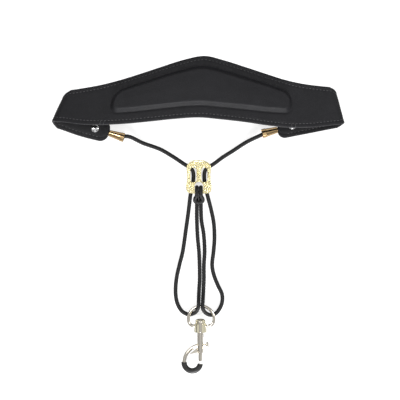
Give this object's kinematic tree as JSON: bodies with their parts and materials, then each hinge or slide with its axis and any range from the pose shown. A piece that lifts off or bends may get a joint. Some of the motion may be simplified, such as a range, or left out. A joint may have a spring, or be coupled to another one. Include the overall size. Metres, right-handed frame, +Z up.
{
  "type": "saxophone neck strap",
  "caption": "Padded leather neck pad with curled ends, cord adjuster, wire ring and swivel bolt snap for holding a saxophone",
  "frame": {"origin": "middle of the strap's outline on the table it lies on", "axes": "+X across the strap to the right, +Y towards the neck pad, +Z up from the table"},
  "size_m": [0.3026, 0.3272, 0.0486],
  "materials": {
    "outer_leather": "satin",
    "lining_leather": "matte",
    "foam": "matte",
    "rivet_steel": "polished",
    "bell_gold": "polished",
    "adjuster_gold": "satin",
    "braided_cord": "matte",
    "black_coating": "gloss",
    "spring_steel": "satin",
    "hook_metal": "polished"
  },
  "bodies": {
    "pad": {"pad_cover": "outer_leather", "pad_lining": "lining_leather", "pad_foam": "foam", "left_rivet_cap": "rivet_steel", "right_rivet_cap": "rivet_steel", "left_rivet_post": "rivet_steel", "right_rivet_post": "rivet_steel", "left_bell": "bell_gold", "right_bell": "bell_gold", "left_cord_tail": "braided_cord", "right_cord_tail": "braided_cord", "left_upper_cord": "braided_cord", "right_upper_cord": "braided_cord"},
    "adjuster": {"adjuster_body": "adjuster_gold", "left_slot_cord": "braided_cord", "right_slot_cord": "braided_cord", "cord_hitch": "braided_cord", "left_outer_strand": "braided_cord", "right_outer_strand": "braided_cord", "left_inner_strand": "braided_cord", "right_inner_strand": "braided_cord"},
    "cord_bights": {"left_ring_bight": "braided_cord", "right_ring_bight": "braided_cord"},
    "ring": {"hook_ring": "hook_metal"},
    "swivel": {"swivel_head": "hook_metal"},
    "hook": {"hook_body": "hook_metal", "hook_sleeve": "black_coating", "trigger_spring": "spring_steel"},
    "bolt": {"trigger_bolt": "hook_metal", "thumb_knob": "hook_metal"}
  },
  "joints": [
    {"name": "adjuster_slide", "type": "slide", "parent": "pad", "child": "adjuster", "axis": [0, 1, 0], "range_m": [-0.06, 0.022], "deforming": ["left_upper_cord", "right_upper_cord"]},
    {"name": "hook_travel", "type": "slide", "parent": "adjuster", "child": "cord_bights", "axis": [0, 1, 0], "range_m": [-0.011, 0.03], "deforming": ["left_outer_strand", "right_outer_strand", "left_inner_strand", "right_inner_strand"]},
    {"name": "ring_swing", "type": "hinge", "parent": "cord_bights", "child": "ring", "pos_m": [0.0033, -0.0926, 0.0059], "axis": [1, 0, 0], "range_deg": [-70, 70], "deforming": ["left_ring_bight", "right_ring_bight"]},
    {"name": "head_tilt", "type": "hinge", "parent": "ring", "child": "swivel", "pos_m": [0.0025, -0.11395, 0.0059], "axis": [1, 0, 0], "range_deg": [-60, 60]},
    {"name": "hook_swivel", "type": "hinge", "parent": "swivel", "child": "hook", "pos_m": [0.0025, -0.12, 0.0059], "axis": [0, 1, 0], "continuous": true},
    {"name": "bolt_slide", "type": "slide", "parent": "hook", "child": "bolt", "axis": [0, 1, 0], "range_m": [0, 0.007], "stiffness_N_per_m": 350, "springref_m": -0.004, "deforming": ["trigger_spring"]}
  ],
  "couplings": [
    {"joint": "hook_travel", "follows": "adjuster_slide", "ratio": -0.5}
  ]
}
